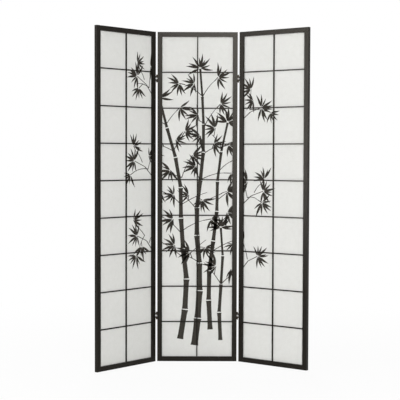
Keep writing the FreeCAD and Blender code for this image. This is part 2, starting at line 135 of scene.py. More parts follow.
def black_wood(name, turn, grain):
    material, tree, shader = new_material(name)
    spot = add_node(tree, "ShaderNodeTexCoord").outputs["Object"]
    along = add_node(tree, "ShaderNodeMapping", {"Vector": spot, "Rotation": (0, 0, turn), "Scale": grain},
                     vector_type="TEXTURE").outputs["Vector"]
    figure = add_node(tree, "ShaderNodeTexNoise", {"Vector": along, "Scale": 1.0, "Detail": 5.0,
                                                   "Roughness": 0.6, "Distortion": 0.5}).outputs["Fac"]
    stain = add_node(tree, "ShaderNodeValToRGB", {"Fac": figure})
    stain.color_ramp.elements[0].position = 0.3
    stain.color_ramp.elements[0].color = colour("100e0b")
    stain.color_ramp.elements[1].position = 0.72
    stain.color_ramp.elements[1].color = colour("1c1813")
    # The rounded normal differs from the flat one only near an edge, which is where hands rub.
    soft = add_node(tree, "ShaderNodeBevel", {"Radius": ARRIS}, samples=4).outputs["Normal"]
    flat = add_node(tree, "ShaderNodeNewGeometry").outputs["Normal"]
    agree = add_node(tree, "ShaderNodeVectorMath", {0: soft, 1: flat},
                     operation="DOT_PRODUCT").outputs["Value"]
    # Patches to the metre, so each is about 22 mm.
    blotch = add_node(tree, "ShaderNodeTexNoise", {"Vector": spot, "Scale": RUBBED_PATCHES,
                                                   "Detail": 3.0}).outputs["Fac"]
    rubbed = add_node(tree, "ShaderNodeMapRange", {"Value": agree, "From Min": 0.995, "From Max": 0.86,
                                                   "To Max": 0.55}).outputs["Result"]
    patchy = add_node(tree, "ShaderNodeMapRange", {"Value": blotch, "From Min": 0.42,
                                                   "From Max": 0.62}).outputs["Result"]
    wear = add_node(tree, "ShaderNodeMath", {0: rubbed, 1: patchy}, operation="MULTIPLY").outputs["Value"]
    worn = add_node(tree, "ShaderNodeMix", {"Factor": wear, "A": stain.outputs["Color"],
                                            "B": colour("3b3631")}, data_type="RGBA")
    tree.links.new(worn.outputs[2], shader.inputs["Base Color"])
    sheen = add_node(tree, "ShaderNodeMapRange", {"Value": figure, "From Min": 0.3, "From Max": 0.7,
                                                  "To Min": 0.23, "To Max": 0.33}).outputs["Result"]
    tree.links.new(sheen, shader.inputs["Roughness"])
    pores = add_node(tree, "ShaderNodeBump", {"Height": figure, "Strength": 0.2,
                                              "Distance": PORE_DEPTH}).outputs["Normal"]
    tree.links.new(pores, shader.inputs["Normal"])
    shader.inputs["Specular IOR Level"].default_value = 0.15
    shader.inputs["Specular Tint"].default_value = colour("fffaf0")
    return material


wood_upright = black_wood("black_stained_softwood_upright", 0.0, (GRAIN_ACROSS, GRAIN_ACROSS, GRAIN_ALONG))
wood_across = {}
for panel in PANELS:
    wood_across[panel] = black_wood(f"black_stained_softwood_across_{panel}", swing[panel],
                                    (GRAIN_ALONG, GRAIN_ACROSS, GRAIN_ACROSS))
print("wood finishes:", 1 + len(wood_across))

# %% [markdown]
# ## Antique bronze and blackened steel
# The hinges are pressed steel with a dark antique bronze plating, rubbed brighter on their edges.
# A metal takes its colour from its reflection, so Metallic is 1 and the patina is a change of base
# colour and roughness in blotches of about 4 mm. The screws have the same build in near black.

# %% Metals
METAL_ARRIS = 0.5 * MM
BRONZE_BLOTCH = 4 * MM
STEEL_BLOTCH = 1.5 * MM


def aged_metal(name, dark, pale, edge, blotch_size):
    material, tree, shader = new_material(name)
    spot = add_node(tree, "ShaderNodeTexCoord").outputs["Object"]
    blotch = add_node(tree, "ShaderNodeTexNoise", {"Vector": spot, "Scale": 1 / blotch_size, "Detail": 4.0,
                                                   "Roughness": 0.65}).outputs["Fac"]
    patina = add_node(tree, "ShaderNodeMapRange", {"Value": blotch, "From Min": 0.35,
                                                   "From Max": 0.65}).outputs["Result"]
    body = add_node(tree, "ShaderNodeMix", {"Factor": patina, "A": colour(dark), "B": colour(pale)},
                    data_type="RGBA")
    soft = add_node(tree, "ShaderNodeBevel", {"Radius": METAL_ARRIS}, samples=4).outputs["Normal"]
    flat = add_node(tree, "ShaderNodeNewGeometry").outputs["Normal"]
    agree = add_node(tree, "ShaderNodeVectorMath", {0: soft, 1: flat},
                     operation="DOT_PRODUCT").outputs["Value"]
    rubbed = add_node(tree, "ShaderNodeMapRange", {"Value": agree, "From Min": 0.99, "From Max": 0.8,
                                                   "To Max": 0.7}).outputs["Result"]
    bright = add_node(tree, "ShaderNodeMix", {"Factor": rubbed, "A": body.outputs[2], "B": colour(edge)},
                      data_type="RGBA")
    tree.links.new(bright.outputs[2], shader.inputs["Base Color"])
    dull = add_node(tree, "ShaderNodeMapRange", {"Value": blotch, "From Min": 0.3, "From Max": 0.7,
                                                 "To Min": 0.52, "To Max": 0.34}).outputs["Result"]
    tree.links.new(dull, shader.inputs["Roughness"])
    shader.inputs["Metallic"].default_value = 1.0
    return material


bronze = aged_metal("antique_bronze_plated_steel", "261f1a", "423a30", "5f5545", BRONZE_BLOTCH)
screw_black = aged_metal("blackened_steel", "2b2926", "45423d", "6b675f", STEEL_BLOTCH)
print("metals:", bronze.name, screw_black.name)

# %% [markdown]
# ## Bare beech
# The corner dowels are hidden inside the frame. They are plain pale beech with short dark flecks,
# about 1 mm across and 8 mm along the dowel, which lies across the panel.

# %% Dowel wood
FLECK = (8 * MM, MM, MM)


def beech(name, turn):
    material, tree, shader = new_material(name)
    spot = add_node(tree, "ShaderNodeTexCoord").outputs["Object"]
    along = add_node(tree, "ShaderNodeMapping", {"Vector": spot, "Rotation": (0, 0, turn), "Scale": FLECK},
                     vector_type="TEXTURE").outputs["Vector"]
    fleck = add_node(tree, "ShaderNodeTexNoise", {"Vector": along, "Scale": 1.0,
                                                  "Detail": 3.0}).outputs["Fac"]
    tone = add_node(tree, "ShaderNodeMix", {"Factor": fleck, "A": colour("a97c4f"), "B": colour("d8b487")},
                    data_type="RGBA")
    tree.links.new(tone.outputs[2], shader.inputs["Base Color"])
    shader.inputs["Roughness"].default_value = 0.6
    return material


dowel_beech = {panel: beech(f"bare_beech_{panel}", swing[panel]) for panel in PANELS}
print("dowel finishes:", len(dowel_beech))

# %% [markdown]
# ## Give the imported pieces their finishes
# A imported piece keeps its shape. Only the material in its slot changes, chosen by its name.

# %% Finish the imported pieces
def finish_for(node):
    panel = node.split("_")[0]
    if "screws" in node:
        return screw_black
    if "hinge" in node:
        return bronze
    if "dowels" in node:
        return dowel_beech[panel]
    if any(word in node for word in ("rail", "crossbars", "top_bead", "bottom_bead")):
        return wood_across[panel]
    return wood_upright


for node, item in frame["nodes"].items():
    item.data.materials.clear()
    item.data.materials.append(finish_for(node))
print("finished", len(frame["nodes"]), "packed pieces")

# %% [markdown]
# ## White fibre paper
# The paper is a soft white sheet of long plant fibres. It scatters light and lets some of it
# through, so it is a matt shader mixed with a translucent one. The fibres are thin contour lines
# of a noise, which wander as real fibres do. They are about 0.4 mm wide, and cloudy patches of
# about 25 mm make the sheet a little thicker and thinner. The sheet has its own UV map in metres,
# so the pattern lies the same way on a panel that is swung.

# %% Paper finish
CLOUD = 25 * MM
FIBRE_BEND = 14 * MM
FIBRE_LEVEL = 0.014
FIBRE_RELIEF = 0.1 * MM
LET_THROUGH = 0.25


def fibre_paper():
    material, tree, shader = new_material("white_fibre_paper")
    spot = add_node(tree, "ShaderNodeTexCoord").outputs["UV"]
    cloud = add_node(tree, "ShaderNodeTexNoise", {"Vector": spot, "Scale": 1 / CLOUD,
                                                  "Detail": 3.0}).outputs["Fac"]
    wander = add_node(tree, "ShaderNodeTexNoise", {"Vector": spot, "Scale": 1 / FIBRE_BEND, "Detail": 2.0,
                                                   "Distortion": 0.8}).outputs["Fac"]
    level = add_node(tree, "ShaderNodeMath", {0: wander, 1: 0.5}, operation="SUBTRACT").outputs["Value"]
    away = add_node(tree, "ShaderNodeMath", {0: level}, operation="ABSOLUTE").outputs["Value"]
    line = add_node(tree, "ShaderNodeMapRange", {"Value": away, "From Min": 0.0, "From Max": FIBRE_LEVEL,
                                                 "To Min": 1.0, "To Max": 0.0}).outputs["Result"]
    tone = add_node(tree, "ShaderNodeMix", {"Factor": cloud, "A": colour("e3e3e0"), "B": colour("ebebe9")},
                    data_type="RGBA")
    thin = add_node(tree, "ShaderNodeMath", {0: line, 1: 0.35}, operation="MULTIPLY").outputs["Value"]
    threads = add_node(tree, "ShaderNodeMix", {"Factor": thin, "A": tone.outputs[2], "B": colour("d3d2cc")},
                       data_type="RGBA")
    tree.links.new(threads.outputs[2], shader.inputs["Base Color"])
    relief = add_node(tree, "ShaderNodeBump", {"Height": line, "Strength": 0.25,
                                               "Distance": FIBRE_RELIEF}).outputs["Normal"]
    tree.links.new(relief, shader.inputs["Normal"])
    shader.inputs["Roughness"].default_value = 0.85
    shader.inputs["Specular IOR Level"].default_value = 0.2
    glow = add_node(tree, "ShaderNodeBsdfTranslucent", {"Color": threads.outputs[2],
                                                        "Normal": relief}).outputs["BSDF"]
    both = add_node(tree, "ShaderNodeMixShader", {0: LET_THROUGH, 1: shader.outputs["BSDF"],
                                                  2: glow}).outputs["Shader"]
    tree.links.new(both, tree.nodes["Material Output"].inputs["Surface"])
    return material


paper_white = fibre_paper()
print("paper:", paper_white.name)

# %% [markdown]
# ## The paper sheets
# Each sheet is cut to lie on the shoulder of the frame's rebate, 6.5 mm past the opening on every
# side, and the beads press it there. It is a thin closed slab, 0.4 mm thick, in the place of the
# packed sheet.

# %% Paper sheets
SHEET_WIDTH = 393 * MM
SHEET_HEIGHT = 1745 * MM
SHEET_THICKNESS = 0.4 * MM
SHEET_CELL = 40 * MM


def paper_sheet(panel):
    mesh = bpy.data.meshes.new(f"{panel}_panel_sheet")
    build = bmesh.new()
    columns = round(SHEET_WIDTH / SHEET_CELL)
    rows = round(SHEET_HEIGHT / SHEET_CELL)
    layers = []
    for depth in (PAPER_FRONT, PAPER_FRONT + SHEET_THICKNESS):
        layers.append([[build.verts.new((SHEET_WIDTH * (c / columns - 0.5), depth,
                                         PANEL_HEIGHT / 2 + SHEET_HEIGHT * (r / rows - 0.5)))
                        for c in range(columns + 1)] for r in range(rows + 1)])
    front, back = layers
    for r in range(rows):
        for c in range(columns):
            build.faces.new((front[r][c], front[r][c + 1], front[r + 1][c + 1], front[r + 1][c]))
            build.faces.new((back[r][c], back[r + 1][c], back[r + 1][c + 1], back[r][c + 1]))
    for c in range(columns):
        build.faces.new((front[0][c + 1], front[0][c], back[0][c], back[0][c + 1]))
        build.faces.new((front[rows][c], front[rows][c + 1], back[rows][c + 1], back[rows][c]))
    for r in range(rows):
        build.faces.new((front[r][0], front[r + 1][0], back[r + 1][0], back[r][0]))
        build.faces.new((front[r + 1][columns], front[r][columns], back[r][columns], back[r + 1][columns]))
    flat = build.loops.layers.uv.new("sheet")
    for face in build.faces:
        for loop in face.loops:
            loop[flat].uv = (loop.vert.co.x + SHEET_WIDTH, loop.vert.co.z)
    build.transform(place[panel])
    build.to_mesh(mesh)
    build.free()
    mesh.materials.append(paper_white)
    sheet = bpy.data.objects.new(f"{panel}_panel_sheet", mesh)
    bpy.context.scene.collection.objects.link(sheet)
    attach(sheet, BODIES[panel])
    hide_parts(f"{panel}_panel_paper")
    return sheet


sheets = {panel: paper_sheet(panel) for panel in PANELS}
for panel, sheet in sheets.items():
    low = [min(v.co[i] for v in sheet.data.vertices) for i in range(3)]
    cad_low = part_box(f"{panel}_panel_paper")[0]
    off = max(abs(a - b) for a, b in zip(low, cad_low)) / MM
    print(panel, "sheet off the packed one by", round(off, 3), "mm")

# %% [markdown]
# ## Printing ink
# The picture is printed in one matt black ink that soaks in a little, so its tone is uneven in
# patches of about 12 mm.

# %% Ink finish
INK_PATCH = 12 * MM


def printing_ink():
    material, tree, shader = new_material("matt_black_printing_ink")
    spot = add_node(tree, "ShaderNodeTexCoord").outputs["Object"]
    soak = add_node(tree, "ShaderNodeTexNoise", {"Vector": spot, "Scale": 1 / INK_PATCH,
                                                 "Detail": 4.0}).outputs["Fac"]
    tone = add_node(tree, "ShaderNodeMix", {"Factor": soak, "A": colour("2d2a26"), "B": colour("403c36")},
                    data_type="RGBA")
    tree.links.new(tone.outputs[2], shader.inputs["Base Color"])
    shader.inputs["Roughness"].default_value = 0.8
    shader.inputs["Specular IOR Level"].default_value = 0.2
    return material


ink = printing_ink()
print("ink:", ink.name)

# %% [markdown]
# ## Brush shapes
# Bamboo in ink is taught as a few strokes that repeat: one stroke for each length of cane, with
# its ends flared and a pale gap at the knot, a thin stroke for a twig, and a pointed leaf. Each
# stroke is one small flat outline that faces the front. Geometry Nodes then lay them out.

# %% Stroke outlines
def flat_stroke(name, profile):
    """A flat outline facing the front: at each place along Z, its left and right edge on X."""
    mesh = bpy.data.meshes.new(name)
    points = []
    for along, left, right in profile:
        points += [(left, 0, along), (right, 0, along)]
    faces = [(2 * i, 2 * i + 1, 2 * i + 3, 2 * i + 2) for i in range(len(profile) - 1)]
    mesh.from_pydata(points, [], faces)
    stroke = bpy.data.objects.new(name, mesh)
    bpy.context.scene.collection.objects.link(stroke)
    return stroke


# A stroke is drawn on a length of 1: each row is a place along it and half its width there. A row of
# the leaf also says how far its middle bends aside.
CANE = [(0.016, 0.47), (0.03, 0.51), (0.06, 0.47), (0.16, 0.43), (0.5, 0.415), (0.84, 0.43), (0.94, 0.47),
        (0.97, 0.51), (0.986, 0.47)]
TWIG = [(-0.04, 0.5), (1.04, 0.42)]
LEAF = [(0.08, 0.008, 0.0), (0.15, 0.033, 0.004), (0.27, 0.067, 0.012), (0.41, 0.087, 0.022),
        (0.56, 0.081, 0.030), (0.71, 0.060, 0.030), (0.85, 0.036, 0.022), (0.96, 0.015, 0.010),
        (1.04, 0.001, 0.0)]
cane_stroke = flat_stroke("cane_stroke", [(z, -half, half) for z, half in CANE])
twig_stroke = flat_stroke("twig_stroke", [(z, -half, half) for z, half in TWIG])
leaf_stroke = flat_stroke("leaf_stroke", [(z, bend - half, bend + half) for z, half, bend in LEAF])
print("strokes:", cane_stroke.name, twig_stroke.name, leaf_stroke.name)

# %% [markdown]
# ## A tree of nodes that follows a path
# Canes and twigs are drawn as paths. The tree cuts a path into equal lengths and sets one stroke
# on each, turned along the path and as wide as the path is there. The same tree serves both, with
# another stroke and another length as its inputs.

# %% Strokes along a path
def new_tree(name, sockets):
    """An empty Geometry Nodes tree with a geometry in and out, and named inputs."""
    tree = bpy.data.node_groups.new(name, "GeometryNodeTree")
    tree.interface.new_socket("Geometry", in_out="INPUT", socket_type="NodeSocketGeometry")
    for label, kind in sockets.items():
        tree.interface.new_socket(label, in_out="INPUT", socket_type=kind)
    tree.interface.new_socket("Geometry", in_out="OUTPUT", socket_type="NodeSocketGeometry")
    return tree, add_node(tree, "NodeGroupInput").outputs


def end_tree(tree, instances, finish):
    """Turn instances into plain faces with a material, and send them out."""
    plain = add_node(tree, "GeometryNodeRealizeInstances", {0: instances}).outputs[0]
    done = add_node(tree, "GeometryNodeSetMaterial", {"Geometry": plain, "Material": finish}).outputs[0]
    add_node(tree, "NodeGroupOutput", {0: done})


path_tree, given = new_tree("strokes_along_a_path", {
    "Stroke": "NodeSocketObject", "Length": "NodeSocketFloat", "Finish": "NodeSocketMaterial"})
cut = add_node(path_tree, "GeometryNodeResampleCurve", {
    "Curve": given["Geometry"], "Length": given["Length"]}, mode="LENGTH").outputs["Curve"]
here = add_node(path_tree, "GeometryNodeInputPosition").outputs[0]
index = add_node(path_tree, "GeometryNodeInputIndex").outputs[0]
after = add_node(path_tree, "ShaderNodeMath", {0: index, 1: 1.0}, operation="ADD").outputs[0]
there = add_node(path_tree, "GeometryNodeFieldAtIndex", {"Index": after, "Value": here},
                 data_type="FLOAT_VECTOR", domain="POINT").outputs[0]
step = add_node(path_tree, "ShaderNodeVectorMath", {0: there, 1: here}, operation="SUBTRACT").outputs[0]
long = add_node(path_tree, "ShaderNodeVectorMath", {0: step}, operation="LENGTH").outputs["Value"]
aim = add_node(path_tree, "FunctionNodeAlignRotationToVector", {"Vector": step}, axis="Z",
               pivot_axis="Y").outputs[0]
wide = add_node(path_tree, "GeometryNodeInputRadius").outputs[0]
size = add_node(path_tree, "ShaderNodeCombineXYZ", {"X": wide, "Y": 1.0, "Z": long}).outputs[0]
last = add_node(path_tree, "GeometryNodeCurveEndpointSelection", {"Start Size": 0,
                                                                  "End Size": 1}).outputs[0]
inner = add_node(path_tree, "FunctionNodeBooleanMath", {0: last}, operation="NOT").outputs[0]
shape = add_node(path_tree, "GeometryNodeObjectInfo", {"Object": given["Stroke"]}).outputs["Geometry"]
laid = add_node(path_tree, "GeometryNodeInstanceOnPoints", {
    "Points": cut, "Selection": inner, "Instance": shape, "Rotation": aim, "Scale": size}).outputs[0]
end_tree(path_tree, laid, given["Finish"])
print("tree:", path_tree.name, len(path_tree.nodes), "nodes")

# %% [markdown]
# ## A tree of nodes that opens leaf groups
# Leaves grow in small fans at the ends of twigs. One point carries a whole fan: how many leaves it
# has, where it aims and how long its leaves are. The tree copies the point once per leaf, spreads
# the copies about the aim, and varies angle and length a little from a fixed seed.

# %% Leaf fans
SHORTEST_LEAF = 0.72
LONGEST_LEAF = 1.12
SEED_STEP = 7.0
fan_tree, given = new_tree("leaf_fans", {
    "Leaf": "NodeSocketObject", "Spread": "NodeSocketFloat", "Vary": "NodeSocketFloat",
    "Seed": "NodeSocketInt", "Finish": "NodeSocketMaterial"})
read = {}
for label, kind in (("leaves", "INT"), ("aim", "FLOAT"), ("length", "FLOAT")):
    read[label] = add_node(fan_tree, "GeometryNodeInputNamedAttribute", {"Name": label},
                           data_type=kind).outputs[0]
dots = add_node(fan_tree, "GeometryNodeMeshToPoints", {"Mesh": given["Geometry"]}).outputs[0]
fans = add_node(fan_tree, "GeometryNodeDuplicateElements", {"Geometry": dots, "Amount": read["leaves"]},
                domain="POINT")
less = add_node(fan_tree, "ShaderNodeMath", {0: read["leaves"], 1: 1.0}, operation="SUBTRACT").outputs[0]
half = add_node(fan_tree, "ShaderNodeMath", {0: less, 1: 0.5}, operation="MULTIPLY").outputs[0]
side_step = add_node(fan_tree, "ShaderNodeMath", {0: fans.outputs[1], 1: half},
                     operation="SUBTRACT").outputs[0]
opened = add_node(fan_tree, "ShaderNodeMath", {0: side_step, 1: given["Spread"], 2: read["aim"]},
                  operation="MULTIPLY_ADD").outputs[0]
low_side = add_node(fan_tree, "ShaderNodeMath", {0: given["Vary"], 1: -1.0},
                    operation="MULTIPLY").outputs[0]
jitter = add_node(fan_tree, "FunctionNodeRandomValue", {
    2: low_side, 3: given["Vary"], "Seed": given["Seed"]}, data_type="FLOAT").outputs[1]
angle = add_node(fan_tree, "ShaderNodeMath", {0: opened, 1: jitter}, operation="ADD").outputs[0]
turned = add_node(fan_tree, "ShaderNodeCombineXYZ", {"Y": angle}).outputs[0]
other = add_node(fan_tree, "ShaderNodeMath", {0: given["Seed"], 1: SEED_STEP}, operation="ADD").outputs[0]
share = add_node(fan_tree, "FunctionNodeRandomValue", {2: SHORTEST_LEAF, 3: LONGEST_LEAF, "Seed": other},
                 data_type="FLOAT").outputs[1]
grown = add_node(fan_tree, "ShaderNodeMath", {0: share, 1: read["length"]}, operation="MULTIPLY").outputs[0]
blade = add_node(fan_tree, "GeometryNodeObjectInfo", {"Object": given["Leaf"]}).outputs["Geometry"]
spread_out = add_node(fan_tree, "GeometryNodeInstanceOnPoints", {
    "Points": fans.outputs[0], "Instance": blade, "Rotation": turned, "Scale": grown}).outputs[0]
end_tree(fan_tree, spread_out, given["Finish"])
print("tree:", fan_tree.name, len(fan_tree.nodes), "nodes")

# %% [markdown]
# ## From a tree to a plain mesh
# A tree works only while its modifier is live, and a finished piece should be a plain mesh. So each
# tree runs on a scratch object, its result is copied, and the scratch object is removed. A modifier
# knows its inputs by identifiers, so the names are looked up in the tree's own list.

# %% Run a tree
def run_tree(host, tree, values):
    """Set a tree's inputs on a scratch object, and return what it makes as a plain mesh."""
    modifier = host.modifiers.new(tree.name, "NODES")
    modifier.node_group = tree
    for item in tree.interface.items_tree:
        if item.in_out == "INPUT" and item.name in values:
            modifier[item.identifier] = values[item.name]
    bpy.context.scene.collection.objects.link(host)
    seen = host.evaluated_get(bpy.context.evaluated_depsgraph_get())
    mesh = bpy.data.meshes.new_from_object(seen)
    bpy.data.objects.remove(host)
    return mesh


# %% [markdown]
# ## The picture's layout
# The design is a plain copy-book grove. Each cane is a path from its foot to its tip, in
# millimetres across the panel and up from the floor, with a width at both ends. Twigs leave the
# upper knots to both sides, sprigs leave the twigs, and each sprig ends in a leaf fan. A fan is
# only drawn where it has room, which keeps the ink airy. A fixed seed keeps the draws the same each
# time. The wings carry only the tips of what grows on the centre panel.

# %% Layout of the grove
KNOT_STEP = {"centre": 150, "left": 62, "right": 62}
TWIG_REACH = {"centre": (110, 180), "left": (60, 105), "right": (60, 105)}
LEAF_LENGTH = 76
FAN_ROOM = 60
CANE_ROOM = 32
# A cane: the points of its path, its width at the foot and at the tip, and the share of its height
# from which it has twigs.
GROVE = {
    "centre": [
        ([(-92, 118), (-40, 380), (-92, 700), (-84, 1000), (-160, 1240), (-206, 1430)], 36, 12, 0.26),
        ([(-14, 84), (30, 400), (-18, 800), (52, 1180), (14, 1590)], 42, 10, 0.3),
        ([(72, 170), (50, 460), (112, 780), (104, 1060), (164, 1300)], 30, 10, 0.28),
        ([(128, 112), (112, 330), (150, 520), (128, 730)], 24, 10, 0.4),
    ],
    "left": [
        ([(206, 1436), (150, 1520), (84, 1540)], 6, 3, 0.2),
        ([(206, 1000), (140, 1080), (64, 1090)], 6, 3, 0.2),
        ([(206, 600), (150, 690), (84, 690)], 6, 3, 0.2),
    ],
    "right": [
        ([(-206, 1310), (-150, 1370), (-80, 1375)], 6, 3, 0.2),
        ([(-206, 850), (-146, 920), (-66, 930)], 6, 3, 0.2),
        ([(-206, 500), (-160, 570), (-100, 580)], 6, 3, 0.2),
    ],
}
# The sprigs of a twig: a share of its length, degrees that they turn up from its line, and how far
# their leaves droop from that towards straight down.
SPRIGS = [(1.0, -10, 0.4), (0.4, 44, 0.6), (0.58, -50, 0.7), (0.8, 36, 0.55)]
TIP_TURN = 1.0
TIP_LEAVES = 5
TIP_SIZE = 0.95
TWIG_LEAN = (38, 64)
TWIG_LOW_SHARE = 1.15
TWIG_SHORTENS = 0.45
TWIG_BOW = (8, 20)
SPRIG_STRAY = (-12, 12)
SPRIG_REACH = (22, 46)
SPRIG_BOW = 4
DROOP_STRAY = (-0.15, 0.15)
FAN_LEAVES = (6, 8)
FAN_SIZE = (0.82, 1.06)
GROVE_SEED = 3
draw = random.Random(GROVE_SEED)


def heading(angle):
    return Vector((math.cos(angle), math.sin(angle)))


def path_length(path):
    return sum((Vector(b) - Vector(a)).length for a, b in zip(path, path[1:]))


def along_path(path, share):
    """The place at a share of a path's length, with the path's direction there."""
    runs = [(Vector(a), Vector(b)) for a, b in zip(path, path[1:])]
    left = share * path_length(path)
    for a, b in runs:
        if left <= (b - a).length or (a, b) == runs[-1]:
            return a + (b - a).normalized() * left, (b - a).normalized()
        left -= (b - a).length


def grow(panel, path, first, taken):
    """Twigs and leaf fans for one cane, from a share of its height upwards."""
    knots = max(2, round(path_length(path) / KNOT_STEP[panel]))
    top, up = along_path(path, 1.0)
    rise = math.atan2(up.y, up.x)
    fans = [(top, rise + side * TIP_TURN, TIP_LEAVES, TIP_SIZE) for side in (-1, 1)]
    twigs = []
    taken.append((top, FAN_ROOM))
    forks = [(knot, hand) for knot in range(math.ceil(first * knots), knots) for hand in (-1, 1)]
    for knot, hand in forks:
        foot, up = along_path(path, knot / knots)
        lean = math.atan2(up.y, up.x) - hand * math.radians(draw.uniform(*TWIG_LEAN))
        reach = draw.uniform(*TWIG_REACH[panel])
        tip = foot + heading(lean) * reach * (TWIG_LOW_SHARE - TWIG_SHORTENS * knot / knots)
        crown = (foot + tip) / 2 + Vector((0, draw.uniform(*TWIG_BOW)))
        kept = []
        for share, turn, droop in SPRIGS:
            fork = foot * (1 - share) ** 2 + crown * 2 * share * (1 - share) + tip * share ** 2
            way = lean + hand * math.radians(turn + draw.uniform(*SPRIG_STRAY))
            end = fork + heading(way) * draw.uniform(*SPRIG_REACH)
            down = droop + draw.uniform(*DROOP_STRAY)
            leaves = draw.randint(*FAN_LEAVES)
            if all((end - spot).length >= room for spot, room in taken):
                taken.append((end, FAN_ROOM))
                to_down = math.pi / 2 + (way if hand > 0 else math.pi - way)
                fans.append((end, way - hand * down * to_down, leaves, draw.uniform(*FAN_SIZE)))
                kept.append([fork, (fork + end) / 2 + Vector((0, SPRIG_BOW)), end])
        if kept:
            twigs += [[foot, crown, tip]] + kept
    return twigs, fans


plans = {}
for panel, canes in GROVE.items():
    taken = []
    for path, *_ in canes:
        dots = math.ceil(path_length(path) / CANE_ROOM)
        taken += [(along_path(path, dot / dots)[0], CANE_ROOM) for dot in range(dots)]
    plan = {"canes": canes, "twigs": [], "fans": []}
    for path, _, _, first in canes:
        twigs, fans = grow(panel, path, first, taken)
        plan["twigs"] += twigs
        plan["fans"] += fans
    plans[panel] = plan
    print(panel, *[f"{len(strokes)} {kind}" for kind, strokes in plan.items()])

# %% [markdown]
# ## Print the picture
# The strokes of a panel are joined into one flat layer, cut at the edge of the sheet, and laid
# 0.1 mm in front of the paper, behind the lattice. It is a layer of ink, so it rides with its sheet.

# %% Print each panel
INK_LIFT = 0.1 * MM
TWIG_WIDTH = 4.8
TWIG_STEP = 22
LEAF_SPREAD = math.radians(25)
LEAF_STRAY = math.radians(8)
LEAF_SEED = 4
PRINT_MARGIN = MM


def path_curve(name, paths):
    """Smooth open paths in the plane of the paper, each with a width at its two ends."""
    data = bpy.data.curves.new(name, "CURVE")
    data.dimensions = "3D"
    for points, first_width, last_width in paths:
        spline = data.splines.new("NURBS")
        spline.points.add(len(points) - 1)
        for i, point in enumerate(points):
            width = first_width + (last_width - first_width) * i / (len(points) - 1)
            spline.points[i].co = (point[0] * MM, 0, point[1] * MM, 1)
            spline.points[i].radius = width * MM
        spline.order_u = 3
        spline.use_endpoint_u = True
    return bpy.data.objects.new(name, data)


def fan_points(name, fans):
    """One vertex per leaf fan, with its aim, number and length of leaves."""
    mesh = bpy.data.meshes.new(name)
    mesh.from_pydata([(spot[0] * MM, 0, spot[1] * MM) for spot, *_ in fans], [], [])
    columns = {"aim": ("FLOAT", [math.pi / 2 - aim for _, aim, _, _ in fans]),
               "leaves": ("INT", [leaves for _, _, leaves, _ in fans]),
               "length": ("FLOAT", [size * LEAF_LENGTH * MM for _, _, _, size in fans])}
    for label, (kind, values) in columns.items():
        mesh.attributes.new(label, kind, "POINT").data.foreach_set("value", values)
    return bpy.data.objects.new(name, mesh)


def print_panel(panel):
    plan = plans[panel]
    canes = path_curve("canes", [(path, foot, tip) for path, foot, tip, _ in plan["canes"]])
    twigs = path_curve("twigs", [(twig, TWIG_WIDTH, TWIG_WIDTH / 2) for twig in plan["twigs"]])
    layers = [
        run_tree(canes, path_tree, {"Stroke": cane_stroke, "Length": KNOT_STEP[panel] * MM, "Finish": ink}),
        run_tree(twigs, path_tree, {"Stroke": twig_stroke, "Length": TWIG_STEP * MM, "Finish": ink}),
        run_tree(fan_points("fans", plan["fans"]), fan_tree,
                 {"Leaf": leaf_stroke, "Spread": LEAF_SPREAD, "Vary": LEAF_STRAY, "Seed": LEAF_SEED,
                  "Finish": ink}),
    ]
    build = bmesh.new()
    for layer in layers:
        build.from_mesh(layer)
        bpy.data.meshes.remove(layer)
    edge = SHEET_WIDTH / 2 - PRINT_MARGIN
    for sign in (-1, 1):
        parts = build.verts[:] + build.edges[:] + build.faces[:]
        bmesh.ops.bisect_plane(build, geom=parts, plane_co=(sign * edge, 0, 0), plane_no=(sign, 0, 0),
                               clear_outer=True)
    bmesh.ops.translate(build, verts=build.verts[:], vec=(0, PAPER_FRONT - INK_LIFT, 0))
    build.transform(place[panel])
    mesh = bpy.data.meshes.new(f"{panel}_panel_ink_print")
    build.to_mesh(mesh)
    build.free()
    mesh.materials.clear()
    mesh.materials.append(ink)
    item = bpy.data.objects.new(mesh.name, mesh)
    bpy.context.scene.collection.objects.link(item)
    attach(item, BODIES[panel])
    return item


for panel in PANELS:
    printed = print_panel(panel)
    print(printed.name, len(printed.data.polygons), "faces")
for stroke in (cane_stroke, twig_stroke, leaf_stroke):
    bpy.data.objects.remove(stroke)

# %% [markdown]
# ## Countersunk screws
# Two small countersunk screws hold each hinge leaf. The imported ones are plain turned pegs, so these
# stand in for them. One screw is made in mesh code: a flat head with a sunk cross, a tapered
# underside, a shank and a point. The tree sets a copy in each hole and gives it a turn of its own,
# because no two screws stop at the same angle.

# %% One screw
SCREW_HEAD = 5 * MM
SCREW_SHANK = 2.4 * MM
HINGE_LEAF = 1.2 * MM
SHANK_LENGTH = 10 * MM
POINT_LENGTH = 4 * MM
CROSS_REACH = 1.6 * MM
CROSS_HALF = 0.4 * MM
CROSS_DEPTH = 0.9 * MM
CROSS_TAPER = 0.6
POINT_BLUNTNESS = 8
SCREW_FACETS = 24


def ring(build, radius, height):
    turns = [math.tau * i / SCREW_FACETS for i in range(SCREW_FACETS)]
    return [build.verts.new((radius * math.cos(a), radius * math.sin(a), height)) for a in turns]


def cross(build, size, height):
    """The outline of a cross slot, as a loop of twelve corners."""
    reach, half = CROSS_REACH * size, CROSS_HALF * size
    arm = [Vector((reach, -half)), Vector((reach, half)), Vector((half, half))]
    corners = [Matrix.Rotation(quarter * math.pi / 2, 2) @ corner for quarter in range(4) for corner in arm]
    return [build.verts.new((*corner, height)) for corner in corners]


def wall(build, upper, lower):
    for i in range(len(upper)):
        build.faces.new((upper[i - 1], upper[i], lower[i], lower[i - 1]))


